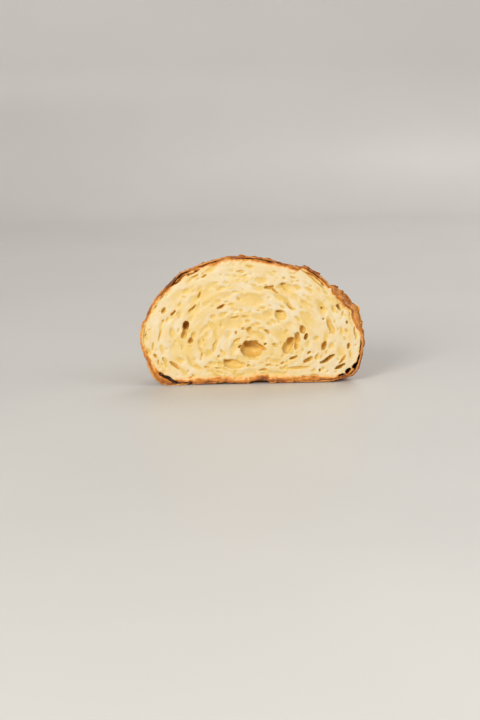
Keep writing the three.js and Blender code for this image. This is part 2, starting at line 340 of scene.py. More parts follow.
def edge_of(turns):
    """How far behind the cut the dough's edge lies after that many turns, wandering a little."""
    steady = smoothstep(0, 0.6, turns) * smoothstep(TURNS, TURNS - 0.5, turns)
    wander = 1.1 * edge_wander(turns * 5.0, 0.5, 0.5) + 0.4 * edge_wander(turns * 17.0, 7.5, 0.5)
    return LENGTH - PITCH * turns + steady * wander


def shoulder(distance):
    u = np.clip(distance / SHOULDER, 0, 1)
    return (1 - (1 - u) ** SHOULDER_POWER) ** (1 / SHOULDER_POWER)


def roll_share(theta, back):
    """The roll's radius as a share of the outline's: the core and the wraps that reach this far back."""
    turn = turn_share(theta)
    tip = np.clip((back - (LENGTH - TIP_ROUNDING)) / TIP_ROUNDING, 0, 1)
    share = CORE * np.sqrt(1 - tip * tip)
    for k in range(math.ceil(TURNS)):
        turns = turn + k
        reaches = turns < TURNS
        share = share + reaches * WRAP * np.minimum(1, turns) * shoulder(edge_of(turns) - back)
    return share


def axis_at(back):
    """The roll's axis at a distance behind the cut: x and z."""
    along = back / LENGTH
    x = CENTRE[0] * (1 - along) + BEND * along * along
    z = CENTRE[1] * (1 - (1 - CORE) * along) + TIP_LIFT * along**4
    return x, z


def beyond(back, theta, radius):
    """The place at an angle and radius about the roll's axis, at a distance behind the cut: x and z."""
    x, z = axis_at(back)
    return x + radius * np.cos(theta), z + radius * np.sin(theta)


def by_angle(table, theta):
    degrees = np.mod(np.degrees(theta), 360)
    return np.interp(degrees, [a for a, _ in table], [v for _, v in table])


def surface_radius(theta, back):
    """The crust's outer surface: the roll with its leaf edges, its torn strip and its lumps."""
    radius = outline_radius(theta) * roll_share(theta, back) / roll_share(theta, 0 * back)
    near_cut = smoothstep(LEAF_FADE, 0, back)
    radius = radius + by_angle(LEAF_STEPS, theta) * near_cut
    degrees = np.mod(np.degrees(theta), 360)
    strip = smoothstep(STRIP[0], STRIP[1], degrees) * smoothstep(STRIP[3], STRIP[2], degrees)
    ragged = 0.8 * lumps(degrees / 3.1, 3.5, 0.5)
    layers = back / STRIP_BACK * 3 + 1.2 * ragged
    stepped = (np.floor(layers) + smoothstep(0.2, 0.8, layers - np.floor(layers))) / 3
    radius = radius - STRIP_DEPTH * strip * (1 - np.clip(stepped, 0, 1))
    teeth = 0.5 * lumps(degrees / 1.3, 1.5, 0.5) + 0.35 * lumps(degrees / 0.6, 5.5, 0.5)
    radius = radius + teeth * smoothstep(4.0, 1.5, back) * (0.42 + 0.5 * strip)
    px, pz = beyond(back, theta, radius)
    bumps = 0.45 * lumps(px / 13, back / 13, pz / 13) + 0.2 * lumps(px / 5, back / 5 + 9, pz / 5)
    return radius + bumps * smoothstep(0, 6, back) * smoothstep(0, 6, LENGTH - back)


def base_height(x, back):
    """How far the underside is off the table: 0 where it rests."""
    height = 0.25 * np.maximum(0, lumps(x / 3.5, back / 3.5, 4.5) - 0.15)
    height = height + 0.8 * np.maximum(0, lumps(x / 1.4, 9.5, 2.5) - 0.2) * smoothstep(2.5, 0.8, back)
    for middle, half_width, rise, depth in ARCHES:
        u = (x - middle) / half_width
        height = height + rise * np.sqrt(np.maximum(0, 1 - u * u)) * smoothstep(depth, 0.4 * depth, back)
    return height


def surface_point(theta, back, inwards=0.0):
    """A point on the crust's outer surface, or inwards of it, as x, y, z."""
    radius = np.maximum(surface_radius(theta, back) - inwards, 0.02)
    px, pz = beyond(back, theta, radius)
    return px, back + 0 * px, np.maximum(pz, base_height(px, back) + inwards)


def inner_point(theta, back, onwards, inwards):
    """A point that is inwards of the crust all the way from the cut to `onwards`, at `back`."""
    reached = [surface_radius(theta, np.full(len(theta), y)) for y in np.linspace(0, onwards, 12)]
    radius = np.min(reached, axis=0) - inwards
    px, pz = beyond(back, theta, radius)
    return px, np.full(len(theta), back), np.maximum(pz, base_height(px, 0 * px) + inwards)


# ----------------------------
# Meshes.

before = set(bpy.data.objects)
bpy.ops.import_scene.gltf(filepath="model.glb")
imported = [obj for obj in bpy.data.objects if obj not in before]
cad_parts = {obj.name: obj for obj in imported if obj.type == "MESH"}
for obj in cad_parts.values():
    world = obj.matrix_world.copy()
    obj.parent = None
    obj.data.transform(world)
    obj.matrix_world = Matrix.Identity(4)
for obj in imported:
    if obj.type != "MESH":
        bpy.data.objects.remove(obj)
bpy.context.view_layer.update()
low_corner, high_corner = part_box(NODE)
round_angles = np.linspace(0, TAU, 3600)
across = CENTRE[0] + outline_radius(round_angles) * np.cos(round_angles)
ORIGIN = np.array([(across.min() + across.max()) / 2, 0.0, 0.0])


def to_frame(points):
    """The roll's millimetres as the row frame's metres."""
    middle = (low_corner.x + high_corner.x) / 2
    return (np.asarray(points) - ORIGIN) * MM + np.array([middle, low_corner.y, low_corner.z])


def make_mesh(name, points, faces, material):
    mesh = bpy.data.meshes.new(name)
    mesh.from_pydata(points, [], faces)
    mesh.polygons.foreach_set("use_smooth", [True] * len(mesh.polygons))
    mesh.materials.append(material)
    return mesh


def add_object(name, data):
    made = bpy.data.objects.new(name, data)
    bpy.context.scene.collection.objects.link(made)
    return made


def make_piece(name, points, faces, material, attributes, uvs=None):
    """A mesh object from points in the roll's millimetres. uvs has two numbers for each face corner."""
    mesh = make_mesh(name, to_frame(points).tolist(), faces, material)
    if uvs is not None:
        layer = mesh.uv_layers.new(name="OFBake")
        layer.data.foreach_set("uv", np.asarray(uvs, np.float32).ravel())
    for key, values in attributes.items():
        attribute = mesh.attributes.new(key, "FLOAT", "POINT")
        attribute.data.foreach_set("value", np.asarray(values, np.float32))
    mesh.validate()
    mesh.update()
    piece = add_object(name, mesh)
    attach(piece, "root")
    return piece


def used_only(points, faces):
    """The points that a face uses, the faces with these points' numbers, and what their numbers were."""
    used = np.unique(np.concatenate([np.array(face) for face in faces]))
    renumber = np.full(len(points), -1)
    renumber[used] = np.arange(len(used))
    return points[used], [renumber[face].tolist() for face in faces], used


def surface_nets(field, axes):
    """The surface where field crosses 0, on a grid with these axis coordinates: points and outward quads.
    The solid is where field is negative."""
    inside = field < 0
    cells = tuple(n - 1 for n in field.shape)
    total = [np.zeros(cells, np.float32) for _ in range(3)]
    count = np.zeros(cells, np.float32)
    quads = []

    def cells_at(edges, others, offsets):
        """The cell beside each edge on one side, and whether it is on the grid."""
        cell = edges.copy()
        for other, offset in zip(others, offsets):
            cell[:, other] -= offset
        return cell, np.all((cell >= 0) & (cell < np.array(cells)), axis=1)

    for axis in range(3):
        near, far = [slice(None)] * 3, [slice(None)] * 3
        near[axis], far[axis] = slice(None, -1), slice(1, None)
        near, far = tuple(near), tuple(far)
        crossed = inside[near] != inside[far]
        edges = np.argwhere(crossed)
        f0, f1 = field[near][crossed], field[far][crossed]
        share = f0 / (f0 - f1)
        others = [a for a in range(3) if a != axis]
        for offsets in ((0, 0), (1, 0), (1, 1), (0, 1)):
            cell, real = cells_at(edges, others, offsets)
            spot = tuple(cell[real].T)
            count[spot] += 1
            for a in range(3):
                value = edges[real, a] + (share[real] if a == axis else 0)
                total[a][spot] += value.astype(np.float32)
        quads.append((axis, others, edges, inside[near][crossed]))
    used = count > 0
    number = np.full(cells, -1, np.int64)
    number[used] = np.arange(used.sum())
    points = np.stack([total[a][used] / count[used] for a in range(3)], 1)
    points = np.stack([np.interp(points[:, a], np.arange(len(axes[a])), axes[a]) for a in range(3)], 1)
    faces = []
    for axis, others, edges, solid_first in quads:
        corners = []
        for offsets in ((1, 1), (0, 1), (0, 0), (1, 0)):
            cell, real = cells_at(edges, others, offsets)
            cell = np.clip(cell, 0, np.array(cells) - 1)
            corners.append(np.where(real, number[tuple(cell.T)], -1))
        quad = np.stack(corners, 1)
        flip = solid_first if axis != 1 else ~solid_first
        quad = np.where(flip[:, None], quad, quad[:, ::-1])
        faces.append(quad[np.all(quad >= 0, axis=1)])
    return points, np.concatenate(faces)


# ----------------------------
# The crumb.


def scattered_cells():
    """Small cells that fill the cut between those of CELLS, lying along the roll's layers."""
    random = np.random.default_rng(5)
    taken = [(x, z, 0.5 * length) for x, z, length, *_ in CELLS + GAPS]
    cells = []
    for count, shortest, longest, shallow in SCATTERED:
        made = 0
        for _ in range(TRIES * count):
            if made == count:
                break
            theta = random.uniform(0, TAU)
            share = math.sqrt(random.uniform(0.01, 0.93))
            radius = float(outline_radius(theta)) * share
            x, z = CENTRE[0] + radius * math.cos(theta), CENTRE[1] + radius * math.sin(theta)
            length = shortest + (longest - shortest) * random.power(1.0) ** 2.2
            rim = smoothstep(0.72, 0.93, share)
            length *= 1 - 0.25 * rim
            if z < 2.6 or any(math.hypot(x - a, z - b) < 0.6 * c + 0.42 * length for a, b, c in taken):
                continue
            ahead, behind = (
                share * float(outline_radius(turned)) * np.array([math.cos(turned), math.sin(turned)])
                for turned in (theta + 0.05, theta - 0.05)
            )
            slope = math.degrees(math.atan2(*(ahead - behind)[::-1])) + random.normal(0, 13)
            if shallow:
                thickness = length * random.uniform(0.3, 0.55)
                depth, back = random.uniform(0.25, 0.5), 0.0
            else:
                thickness = length * (random.uniform(0.3, 0.62) * (1 - rim) + 0.22 * rim)
                depth, back = length * random.uniform(0.14, 0.45), random.uniform(0, 0.25) * thickness
                depth *= 1 - 0.45 * smoothstep(22, 34, z)
                thickness = max(thickness, 0.34)
            taken.append((x, z, 0.5 * length))
            cells.append((x, z, length, thickness, depth, slope, back))
            made += 1
    return cells


def layers_at(x, z, share):
    """The dough's layers on the cut, from -1 to 1: long along the roll and thin across it."""
    return 0.6 * crumb_relief(x / 7, share * 24, z / 7) + 0.4 * crumb_relief(x / 4, share * 55 + 9, z / 4)


def crumb_field():
    """Distance to the crumb's surface, negative inside it, on a voxel grid, with the grid's axes."""
    xs, zs = (np.arange(*ends, STEP, dtype=np.float32) for ends in (GRID_X, GRID_Z))
    fine, coarse = np.arange(GRID_FRONT, FINE_DEPTH, STEP), np.arange(FINE_DEPTH, SLAB + 1.0, COARSE_STEP)
    ys = np.concatenate([fine, coarse]).astype(np.float32)
    x, y, z = xs[:, None, None], ys[None, :, None], zs[None, None, :]

    # Inside the crust's surface, by a table of its radius over angle and distance behind the cut.
    angles = np.linspace(0, TAU, 1441)
    backs = np.clip(ys, 0, None)
    radii = surface_radius(angles[:, None], backs[None, :].astype(float)).astype(np.float32)
    axis_x, axis_z = axis_at(backs)
    side = np.empty((len(xs), len(ys), len(zs)), np.float32)
    for j in range(len(ys)):
        dx, dz = x[:, 0, :] - axis_x[j], z[:, 0, :] - axis_z[j]
        theta = np.mod(np.arctan2(dz, dx), TAU)
        side[:, j, :] = np.interp(theta, angles, radii[:, j]) - np.hypot(dx, dz)
    bottom = z - base_height(x, np.clip(y, 0, None))
    rim = np.minimum(side, bottom)

    # The cut itself: nearly flat, torn a little between the cells.
    relief = 0.1 * crumb_relief(x / 3.2, 0.5, z / 3.2) + 0.06 * crumb_relief(x / 1.1, 5.5, z / 1.1)
    around, distance = about_centre(x, z)
    share = distance / outline_radius(around)
    relief = relief + 0.1 * layers_at(x, z, share) * smoothstep(0.15, 0.5, share)
    rim_at_cut = rim[:, :1, :]
    crusty = smoothstep(2.4, 0.6, rim_at_cut)
    relief = relief + crusty * (0.3 * wrinkles(x / 2.6, rim_at_cut / 0.42, z / 2.6))
    solid = np.maximum(INSET - rim, relief - y)
    solid = np.maximum(solid, y - SLAB)

    # Coordinates bent a little, so that no cell is a true ellipsoid.
    bent_x = x + 0.5 * warp_x(x / 2.6, y / 2.6, z / 2.6) + 0.26 * warp_z(x / 0.9, y / 0.9, z / 0.9)
    bent_y = y + 0.35 * warp_y(x / 2.6, y / 2.6, z / 2.6)
    bent_z = z + 0.4 * warp_z(x / 2.6, y / 2.6, z / 2.6) + 0.26 * warp_x(x / 0.9, y / 0.9, z / 0.9)

    cavity = np.full(solid.shape, 5.0, np.float32)
    dimples = cavity.copy()
    cells = [(dimples, *cell) for cell in scattered_cells()]
    for cx, cz, length, thickness, depth, slope, back in CELLS + GAPS:
        if back > 0:
            flat = CAVITY_LENGTH * length, CAVITY_THICKNESS * thickness
            cells.append((cavity, cx, cz, *flat, CAVITY_DEPTH * depth, slope, CAVITY_DEPTH * back))
        else:
            cells.append((dimples, cx, cz, length, thickness, DIMPLE_DEPTH * depth, slope, 0.0))
    for target, cx, cz, length, thickness, depth, slope, back in cells:
        reach = 0.5 * length + 1.6
        i = slice(*np.searchsorted(xs, [cx - reach, cx + reach]))
        k = slice(*np.searchsorted(zs, [cz - reach, cz + reach]))
        j = slice(0, np.searchsorted(ys, back + depth + 1.5))
        # the distance to an ellipsoid, nearly
        halves = 0.5 * length, 0.5 * thickness, depth
        along, beside = sloped(bent_x[i, j, k] - cx, bent_z[i, j, k] - cz, slope)
        shares = [d / half for d, half in zip((along, beside, bent_y[i, j, k] - back), halves)]
        size = np.sqrt(sum(d**2 for d in shares)) + TINY
        stretch = np.sqrt(sum((d / half) ** 2 for d, half in zip(shares, halves))) + TINY
        found = size * (size - 1) / stretch
        if target is cavity:
            # cells that touch run into one another smoothly
            found = smooth_min(target[i, j, k], found, min(max(0.3 * thickness, 0.25), 1.4))
        target[i, j, k] = np.minimum(target[i, j, k], found)

    degrees = np.degrees(around)
    for first, last, inside, width, depth in SLITS:
        half = 0.5 * (last - first)
        aside = degrees_apart(degrees, 0.5 * (first + last))
        tapered = smoothstep(half, 0.6 * half, aside)
        wavering = inside + 0.3 * lumps(x / 4.5, 2.5, z / 4.5)
        opening = 0.5 * width * tapered * (0.9 + 0.9 * lumps(x / 2.2, 8.5, z / 2.2))
        slit = np.maximum(np.abs(rim - wavering) - opening, y - depth * tapered)
        slit = np.maximum(slit, 0.08 * (aside - half))
        cavity = np.minimum(cavity, slit)

    # Cells are carved with rounded lips, and leave a wall under the crust.
    carved = solid
    for cut, blend in ((dimples, DIMPLE_LIP), (cavity, CAVITY_LIP)):
        carved = -smooth_min(-carved, cut, blend)
    wall = np.maximum(solid, rim - (INSET + CRUST_WALL))
    field = np.where(y > WALL_FROM, np.minimum(carved, wall), carved)
    return field.astype(np.float32), (xs, ys, zs)


def in_gap(x, z):
    """Whether each place on the cut is within or close beside a gap of the crust."""
    found = np.zeros(x.shape, bool)
    for cx, cz, length, thickness, _, slope, _ in GAPS:
        along, beside = sloped(x - cx, z - cz, slope)
        found |= np.hypot(along / (0.5 * length + 1), beside / (0.5 * thickness + 1)) < 1
    return found


def open_back(points, faces):
    """Takes off the faces that the crust hides and closes the crumb with a plain wall and a flat back."""
    x, y, z = points.T
    backs = np.clip(y, 0, None)
    ax, az = axis_at(backs)
    theta = np.arctan2(z - az, x - ax)
    side = surface_radius(theta, backs) - np.hypot(x - ax, z - az)
    rim = np.minimum(side, z - base_height(x, backs))
    hidden_from = np.where(in_gap(x, z), HIDDEN_FROM_IN_GAP, HIDDEN_FROM)
    hidden = (y > hidden_from) & (rim < INSET + HIDDEN_WITHIN) | (y > SLAB - 0.3)
    kept = faces[~np.any(hidden[faces], axis=1)]

    # The largest patch only: nothing is left loose.
    parent = np.arange(len(points))
    for _ in range(200):
        least = parent[kept].min(axis=1)
        before = parent.copy()
        for c in range(4):
            np.minimum.at(parent, kept[:, c], least)
        parent = parent[parent]
        if np.array_equal(before, parent):
            break
    roots, sizes = np.unique(parent[kept[:, 0]], return_counts=True)
    kept = kept[parent[kept[:, 0]] == roots[sizes.argmax()]]

    # The open edge, as loops in the order that closes the solid.
    a = kept.ravel()
    b = np.roll(kept, -1, axis=1).ravel()
    times = Counter(zip(a.tolist(), b.tolist()))
    onward = {}
    for u, v in sorted(times):
        for _ in range(times[u, v] - times.get((v, u), 0)):
            onward.setdefault(v, []).append(u)
    rings = []
    while onward:
        ring = [next(iter(onward))]
        while ring[-1] in onward:
            nexts = onward[ring[-1]]
            ring.append(nexts.pop())
            if not nexts:
                del onward[ring[-2]]
            if ring[-1] in ring[:-1]:
                # a loop has closed, perhaps part of the way along
                start = ring.index(ring[-1])
                rings.append(ring[start:-1])
                ring = ring[: start + 1]
    points = list(map(tuple, points))
    faces = kept.tolist()
    rings.sort(key=len, reverse=True)
    main = rings[0]
    turns = np.array([math.atan2(points[v][2] - CENTRE[1], points[v][0] - CENTRE[0]) for v in main])
    walls = []
    for back, onwards in zip(WALL_RINGS, WALL_RINGS[1:]):
        start = len(points)
        points += list(zip(*inner_point(turns, back, onwards, WALL_INSET)))
        walls.append(list(range(start, len(points))))
    for front, rear in zip([main] + walls, walls):
        for n in range(len(main)):
            m = (n + 1) % len(main)
            faces.append([front[n], front[m], rear[m], rear[n]])
    faces.append(walls[-1])
    faces += [ring for ring in rings[1:] if len(ring) > 2]
    points, faces, _ = used_only(np.array(points), faces)
    return points, faces


def cell_attributes(points, rim):
    """For each point of the crumb: the share it is inside a cell's outline, how narrow that cell is, from
    0.3 to 3, and the share it is inside a gap of the crust."""
    x, _, z = points.T
    bent_x = x + 0.9 * warp_x(x / 2.6, 3.5, z / 2.6) + 0.5 * warp_z(x / 0.9, 3.5, z / 0.9)
    bent_z = z + 0.8 * warp_z(x / 2.6, 3.5, z / 2.6) + 0.5 * warp_x(x / 0.9, 3.5, z / 0.9)
    inside, narrow, gap = np.zeros(len(x)), np.ones(len(x)), np.zeros(len(x))
    order = np.argsort(x)
    in_order = x[order]
    cells = CELLS + scattered_cells() + GAPS
    for number, (cx, cz, length, thickness, _, slope, back) in enumerate(cells):
        reach = 0.8 * length + 1.2
        near = order[slice(*np.searchsorted(in_order, [cx - reach, cx + reach]))]
        near = near[np.abs(z[near] - cz) < reach]
        flat_x, flat_z = (x, z) if back > 0 else (bent_x, bent_z)
        along, beside = sloped(flat_x[near] - cx, flat_z[near] - cz, slope)
        share = smoothstep(1.5, 0.5, np.hypot(along / (0.5 * length), beside / (0.5 * thickness + 0.15)))
        more = share > inside[near]
        inside[near[more]] = share[more]
        narrow[near[more]] = np.clip(2.2 / thickness, 0.3, 3)
        if number >= len(cells) - len(GAPS):
            gap[near] = np.maximum(gap[near], np.minimum(1, 2 * share))
    degrees = np.degrees(about_centre(x, z)[0])
    for first, last, depth, width, _ in SLITS:
        aside = degrees_apart(degrees, 0.5 * (first + last))
        share = smoothstep(width + 0.5, width, np.abs(rim - depth)) * (aside < 0.5 * (last - first))
        narrow = np.where(share > inside, 3.0, narrow)
        inside = np.maximum(inside, share)
        # A slit counts as part of a gap, so that it is painted a little darker as shade.
        gap = np.maximum(gap, 0.4 * share)
    return inside, narrow, gap


def crumb_attributes(points):
    """What the crumb's material needs at each point: how deep and how far inside a cell it lies, how
    brown it is from baking, with painted shade deeper in the crust and in its gaps, and where it is
    in the dough's layers."""
    x, y, z = points.T
    theta, distance = about_centre(x, z)
    side = surface_radius(theta, 0 * y) - distance
    crusty_side = 1 - side / by_angle(CRUST_DEPTHS, theta)
    crusty_base = 1 - (z - base_height(x, np.clip(y, 0, None))) / BASE_CRUST
    ragged = 0.14 * browning(x / 2.3, y / 2.3, z / 2.3) + 0.1 * browning(x / 0.8, y / 0.8, z / 0.8)
    bake_and_shade = 1.25 * np.maximum(crusty_side, crusty_base)
    strata = wrinkles(x / 3.5, np.minimum(side, z) / 0.5, z / 9)
    within = smoothstep(-0.4, 0.2, bake_and_shade)
    # Besides the baking and its strata, the crust's zone grows darker the deeper behind the cut it lies:
    # painted shade in its hollows.
    bake_and_shade = bake_and_shade + 1.5 * ragged + (0.4 * strata + 0.55 * np.clip(y, 0, 2)) * within
    share = distance / outline_radius(theta)
    cell, narrow, gap = cell_attributes(points, side)
    # the end of the last wrap, folded under at the lower left, is browner
    from_fold = np.hypot((x + 31.2) / 1.7, z - 0.9)
    bake_and_shade = bake_and_shade + 0.35 * smoothstep(3.2, 1.0, from_fold) * within
    bake_and_shade = np.clip(bake_and_shade, -1, 1.15)
    # In the crust's gaps, and a little in its slits, the colour goes towards near black behind the cut:
    # painted shade.
    bake_and_shade = bake_and_shade + gap * smoothstep(0.1, 0.7, y) * (1.65 - bake_and_shade)
    # Narrow cells and slits count as deeper, so that their insides take the darker amber sooner: painted
    # shade.
    depth = y * (1 + (narrow - 1) * cell)
    layers = layers_at(x, z, share) + 0.6 * (share - 0.6)
    return {"depth": depth, "cell": cell, "bake_and_shade": bake_and_shade, "layers": layers}


def crumb_uvs(points, faces):
    """Flat on the cut for what faces it. The hidden back is smaller and goes above."""
    scale = 1 / CUT_SPAN
    uvs = []
    for face in faces:
        hidden = max(points[v][1] for v in face) > SLAB - 0.2
        shrink, above = BACK_UV if hidden else CUT_UV
        for v in face:
            x, _, z = points[v]
            uvs.append(((x + 0.5 * CUT_SPAN) * scale * shrink, (z + 1) * scale * shrink + above))
    return uvs


# ----------------------------
# The crust.


def crust_rows():
    """For every column, how far behind the cut the crust's rows run and how far each is from the edges of
    its wrap and of the one before, and the number of rows in a wrap. Rows run beside the wraps' edges, so
    once round the roll each meets the row of the next wrap."""
    turn = np.arange(COLUMNS) / COLUMNS
    flat_share = 1 - SHOULDER / PITCH
    flat = np.linspace(0, flat_share, FLAT_ROWS, endpoint=False)
    inside = (1 - np.linspace(0, 1, SHOULDER_ROWS, endpoint=False)) ** 1.8
    spacing = np.concatenate([flat, 1 - (1 - flat_share) * inside])
    backs, gaps, creases = [], [], []
    for k in range(math.ceil(TURNS), -2, -1):
        near, far = edge_of(turn + k)[:, None], edge_of(turn + k - 1)[:, None]
        back = near + spacing * (far - near)
        backs.append(back)
        gaps.append(far - back)
        creases.append(back - near)
    return np.hstack(backs), np.hstack(gaps), np.hstack(creases), len(spacing)


def crust_piece(material):
    raw, gap, crease, shift = crust_rows()
    end = LENGTH - TIP_ROUNDING
    helical = raw.shape[1]
    tip = end + TIP_ROUNDING * np.sin(np.linspace(0, 0.5 * math.pi, TIP_ROWS))
    back = np.hstack([np.clip(raw, 0, end), np.tile(tip, (COLUMNS, 1))])
    gap, crease = (np.hstack([value, np.full((COLUMNS, TIP_ROWS), TIP_GAP)]) for value in (gap, crease))
    rows = back.shape[1]
    theta = (START + TAU * np.arange(COLUMNS) / COLUMNS)[:, None] + 0 * back

    x, y, z = surface_point(theta, back)
    fine = 0.10 * wrinkles(x / 7, crease / 0.9, z / 7) + 0.05 * wrinkles(x / 2, y / 2 + 5, z / 2)
    strata = 0.16 * wrinkles(x / 9, gap / 0.55, z / 9) * smoothstep(7, 1, gap) * smoothstep(0, 0.4, gap)
    lift = (fine + strata) * smoothstep(0, 1.0, y)
    x, z = x + lift * np.cos(theta), z + lift * np.sin(theta)
    z = np.maximum(z, base_height(x, y))
    rim_wave = 0.16 * wrinkles(np.degrees(theta) / 1.7, 0.5, 0.5)
    y = y + np.where(back <= 0, rim_wave, 0)
    points = np.stack([x, y, z], 2)

    # Rows that would fall past either end all meet there.
    first = (back[:, :helical] <= 0).sum(1) - 1
    last = helical - (back[:, :helical] >= end).sum(1)
    number = np.arange(COLUMNS * rows).reshape(COLUMNS, rows)

    def vertex(column, row):
        if row < helical:
            row = min(max(row, first[column]), last[column])
        elif row == helical:
            row = last[column]
        elif row == rows - 1:
            column = 0
        return int(number[column, row])

    lengths = np.linalg.norm(np.diff(points, axis=1), axis=2)
    travelled = np.hstack([np.zeros((COLUMNS, 1)), np.cumsum(lengths, 1)])
    v_share = travelled / travelled.max()

    faces, uvs = [], []

    def add(corners):
        """A face from (vertex, u, v) corners; corners that coincide are one."""
        kept = [c for n, c in enumerate(corners) if c[0] != corners[n - 1][0]]
        if len({c[0] for c in kept}) >= 3 and len(kept) == len({c[0] for c in kept}):
            faces.append([c[0] for c in kept])
            uvs.extend((c[1], c[2]) for c in kept)

    for i in range(COLUMNS):
        wraps_round = i == COLUMNS - 1
        following = 0 if wraps_round else i + 1
        for j in range(rows - 1):
            if j < first[i] - 2 and not wraps_round:
                continue
            corners = []
            own_side = [(i, j, i), (i, j + 1, i)]
            for column, row, u in (*own_side, (following, j + 1, i + 1), (following, j, i + 1)):
                own = row
                if column == following and wraps_round and row < helical:
                    own = max(0, row - shift)
                v = SKIN_V[0] + SKIN_V[1] * v_share[column, own]
                corners.append((vertex(column, own), u / COLUMNS, v))
            add(corners)

    # The cut edge and the hidden inner side, which closes the crust behind the crumb.
    points = points.reshape(-1, 3).tolist()
    rounds = [(i, (i + 1) % COLUMNS, i / COLUMNS, (i + 1) / COLUMNS) for i in range(COLUMNS)]
    previous = [vertex(i, 0) for i in range(COLUMNS)]
    outer = len(points)
    for n, depth in enumerate(RING_DEPTHS):
        following_depth = RING_DEPTHS[min(n + 1, len(RING_DEPTHS) - 1)]
        onwards = following_depth if depth >= 3 else depth + 0.1 * (depth > 0)
        inner = inner_point(theta[:, 0], depth, onwards, SKIN)
        start = len(points)
        inner_y = inner[1] + (rim_wave[:, 0] if n == 0 else 0)
        points += np.stack([inner[0], inner_y, inner[2]], 1).tolist()
        ring = list(range(start, start + COLUMNS))
        low, high = RING_V * n, RING_V * (n + 1)
        for i, m, u, next_u in rounds:
            near_side = [(previous[i], u, low), (previous[m], next_u, low)]
            add([*near_side, (ring[m], next_u, high), (ring[i], u, high)])
        previous = ring
    middle = len(points)
    points.append([CENTRE[0], RING_DEPTHS[-1], CENTRE[1]])
    for i, m, u, next_u in rounds:
        add([(previous[i], u, high), (previous[m], next_u, high), (middle, u, END_V)])

    points = np.array(points)
    plain = np.full(len(points) - outer, PLAIN_GAP)
    gap, crease = (np.concatenate([value.ravel(), plain]) for value in (gap, crease))
    gap = np.where(points[:, 1] < 3, 0.4 + 1.3 * np.clip(points[:, 1], 0, 3), gap)
    points, faces, used = used_only(points, faces)
    gap = gap[used]
    bake_and_shade = crust_browning(points, gap, crease[used])
    # The inner side shows only through the gaps at the cut, and is painted dark there as their shade.
    bake_and_shade = np.maximum(bake_and_shade, (used >= outer) * smoothstep(0.3, 1.4, points[:, 1]))
    return make_piece("crust", points, faces, material, {"gap": gap, "bake_and_shade": bake_and_shade}, uvs)


def crust_browning(points, gap, crease):
    """How brown the crust is at each point, from 0 for pale gold to 1 for dark brown."""
    x, y, z = points.T
    crest = smoothstep(0.3, 3.5, gap) * (1 - 0.5 * smoothstep(9, 19, gap))
    pale = np.exp(-np.clip(crease, 0, None) / 1.5)
    height = smoothstep(0, 40 * (1 - 0.5 * y / LENGTH), z)
    patches = browning(x / 10, y / 10, z / 10) + 0.6 * browning(x / 3.5, y / 3.5, z / 3.5)
    brown = 0.3 + 0.42 * crest + 0.2 * height - 0.4 * pale + 0.24 * patches
    theta, _ = about_centre(x, z)
    at_cut = smoothstep(4, 1.2, y)
    streaks = 0.3 * browning(x / 3.5, y / 0.35, z / 3.5) + 0.22 * browning(x / 1.1, y / 0.5, z / 1.1)
    brown = brown * (1 - at_cut) + (by_angle(EDGE_BROWN, theta) + streaks) * at_cut
    under = smoothstep(0.9, 0.1, z)
    return np.clip(brown * (1 - under) + 0.5 * under, 0, 1)


# ----------------------------
# The flakes.


def flake_sheet(random, theta, back, around, along, facing, lift, follow=1.0):
    """A thin leaf with a ragged free edge, as points, faces and how far along each point is. It lifts off
    the crust towards the edge, which is at `back` and faces the tip (facing 1) or the cut (facing -1)."""
    columns = max(6, int(around / 0.5) + 1)
    rows = max(4, int(along / 0.55) + 1)
    s = np.linspace(-1, 1, columns)[:, None]
    t = np.linspace(0, 1, rows)[None, :]
    seed = random.uniform(0, 30)
    ragged = 0.82 + 0.3 * wrinkles(s * around / 2.4, seed, 0.5)
    ragged = ragged + 0.14 * wrinkles(s * around / 0.9, seed, 3.5)
    reach = np.maximum(0.12, along * (1 - np.abs(s) ** 2.4) ** 0.6 * ragged)
    y = back - facing * along + facing * reach * t
    radius = surface_radius(theta, max(back, 0.0))
    turns = theta + s * around / (2 * radius) + 0 * t
    r = surface_radius(turns, np.clip(y, 0, LENGTH - 1))
    r = r[:, :1] + (r - r[:, :1]) * follow
    rise = lift * (0.75 + 0.5 * wrinkles(s * around / 3.5, seed, 6.5)) * (1 - 0.5 * s**4)
    off = -0.25 + (0.25 + rise) * t**1.3 + 0.1 * wrinkles(s * around / 1.6, t * along / 1.6, seed) * t
    thick = FLAKE * (1 - 0.35 * t)
    layers = []
    for side in (0.5, -0.5):
        px, pz = beyond(y, turns, r + off + side * thick)
        layers.append(np.stack([px, y, np.maximum(pz, 0.05 + (side + 0.5) * FLAKE)], 2).reshape(-1, 3))
    points = np.concatenate(layers)
    top = np.arange(columns * rows).reshape(columns, rows)
    low = top + columns * rows
    border = np.concatenate([top[0, :-1], top[:-1, -1], top[-1, :0:-1], top[:0:-1, 0]])
    faces = []
    for sheet, order in ((top, 1), (low, -1)):
        corners = [sheet[:-1, :-1], sheet[:-1, 1:], sheet[1:, 1:], sheet[1:, :-1]]
        faces += np.stack(corners[::order], 2).reshape(-1, 4).tolist()
    onward = np.roll(border, -1)
    faces += np.stack([onward, border, border + columns * rows, onward + columns * rows], 1).tolist()
    if facing < 0:
        faces = [face[::-1] for face in faces]
    return points, faces, np.tile((t + 0 * s).ravel(), 2)


